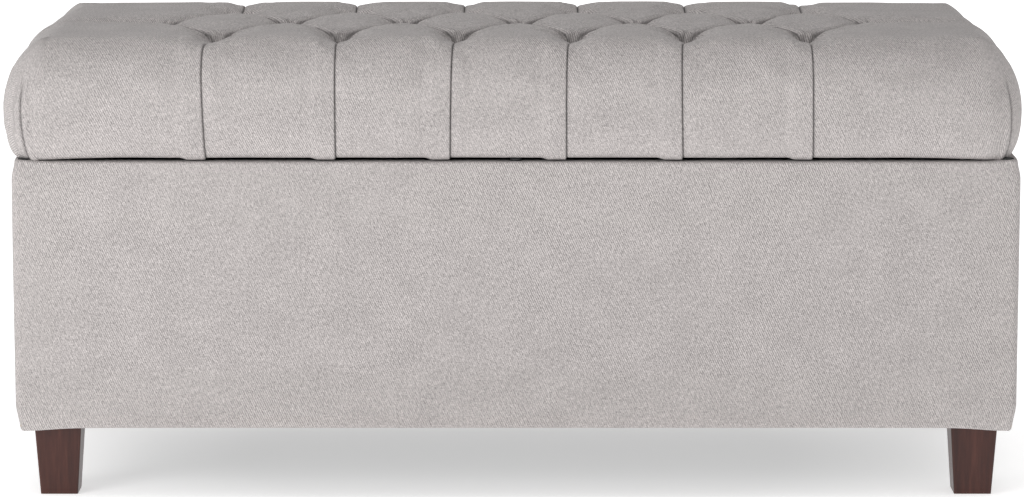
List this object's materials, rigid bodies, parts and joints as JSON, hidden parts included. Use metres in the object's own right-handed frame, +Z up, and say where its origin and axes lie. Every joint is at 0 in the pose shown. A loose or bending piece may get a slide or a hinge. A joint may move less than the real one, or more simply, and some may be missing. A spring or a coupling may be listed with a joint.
{
  "type": "storage bench",
  "caption": "Long upholstered storage bench with a diamond-tufted cushioned lid hinged at the rear, a fabric-covered box and short tapered square wooden legs.",
  "frame": {"origin": "on the floor under the middle of the bench's footprint", "axes": "+Z up, +X along the bench's length to the viewer's right, -Y the front; the lid's hinges are at +Y"},
  "size_m": [1.067, 0.47, 0.486],
  "materials": {
    "cover_fabric": "matte heathered fine twill, light warm grey",
    "lining_fabric": "matte plain-weave lining, near black",
    "dust_cover_fabric": "matte non-woven cloth, black",
    "foam": "open-cell foam, pale",
    "batting": "fluffy polyester wadding, white",
    "twine": "waxed polyester twine",
    "plastic": "moulded, matt",
    "rubber": "soft, matt black",
    "leg_wood": "dark espresso stain, satin lacquer",
    "plywood": "unfinished plywood",
    "frame_wood": "planed softwood, unfinished",
    "zinc_steel": "bright zinc plate"
  },
  "bodies": {
    "box": {"back_panel": "plywood", "base_lining": "lining_fabric", "base_panel": "plywood", "base_screws": "zinc_steel", "box_cover": "cover_fabric", "box_padding": "foam", "cleat_back": "frame_wood", "cleat_front": "frame_wood", "cleat_left": "frame_wood", "cleat_right": "frame_wood", "corner_block_front_left": "frame_wood", "corner_block_front_right": "frame_wood", "corner_block_rear_left": "frame_wood", "corner_block_rear_right": "frame_wood", "dust_cover": "dust_cover_fabric", "front_panel": "plywood", "hanger_bolts": "zinc_steel", "hinge_box_leaf_left": "zinc_steel", "hinge_box_leaf_right": "zinc_steel", "hinge_box_screws": "zinc_steel", "hinge_pin_left": "zinc_steel", "hinge_pin_right": "zinc_steel", "left_panel": "plywood", "leg_front_left": "leg_wood", "leg_front_right": "leg_wood", "leg_rear_left": "leg_wood", "leg_rear_right": "leg_wood", "lid_bumpers": "rubber", "panel_screws": "zinc_steel", "right_panel": "plywood", "side_lining": "lining_fabric", "stay_box_plate_left": "zinc_steel", "stay_box_plate_right": "zinc_steel", "stay_box_rivets": "zinc_steel", "stay_box_screws": "zinc_steel", "tee_nuts": "zinc_steel"},
    "lid": {"hinge_lid_leaf_left": "zinc_steel", "hinge_lid_leaf_right": "zinc_steel", "hinge_lid_screws": "zinc_steel", "lid_batting": "batting", "lid_board": "plywood", "lid_cover": "cover_fabric", "lid_foam": "foam", "lid_lining": "lining_fabric", "stay_lid_bracket_left": "zinc_steel", "stay_lid_bracket_right": "zinc_steel", "stay_lid_rivets": "zinc_steel", "stay_lid_screws": "zinc_steel", "tie_washers": "plastic", "tuft_buttons": "cover_fabric", "tuft_ties": "twine"},
    "stay_lower_left": {"stay_knuckle_rivet_left": "zinc_steel", "stay_lower_arm_left": "zinc_steel"},
    "stay_upper_left": {"stay_upper_arm_left": "zinc_steel"},
    "stay_lower_right": {"stay_knuckle_rivet_right": "zinc_steel", "stay_lower_arm_right": "zinc_steel"},
    "stay_upper_right": {"stay_upper_arm_right": "zinc_steel"}
  },
  "joints": [
    {"name": "lid_hinge", "type": "hinge", "parent": "box", "child": "lid", "pos_m": [0, 0.2318, 0.3595], "axis": [-1, 0, 0], "range_deg": [0, 95]},
    {"name": "stay_box_pivot_left", "type": "hinge", "parent": "box", "child": "stay_lower_left", "pos_m": [-0.503, 0.1898, 0.2445], "axis": [-1, 0, 0], "range_deg": [0, 95]},
    {"name": "stay_lid_pivot_left", "type": "hinge", "parent": "lid", "child": "stay_upper_left", "pos_m": [-0.5005, 0.1118, 0.3395], "axis": [-1, 0, 0], "range_deg": [-95, 0]},
    {"name": "stay_box_pivot_right", "type": "hinge", "parent": "box", "child": "stay_lower_right", "pos_m": [0.503, 0.1898, 0.2445], "axis": [-1, 0, 0], "range_deg": [0, 95]},
    {"name": "stay_lid_pivot_right", "type": "hinge", "parent": "lid", "child": "stay_upper_right", "pos_m": [0.5005, 0.1118, 0.3395], "axis": [-1, 0, 0], "range_deg": [-95, 0]}
  ],
  "couplings": [
    {"joint": "stay_box_pivot_left", "follows": "lid_hinge", "ratio": 1},
    {"joint": "stay_lid_pivot_left", "follows": "lid_hinge", "ratio": -1},
    {"joint": "stay_box_pivot_right", "follows": "lid_hinge", "ratio": 1},
    {"joint": "stay_lid_pivot_right", "follows": "lid_hinge", "ratio": -1}
  ]
}
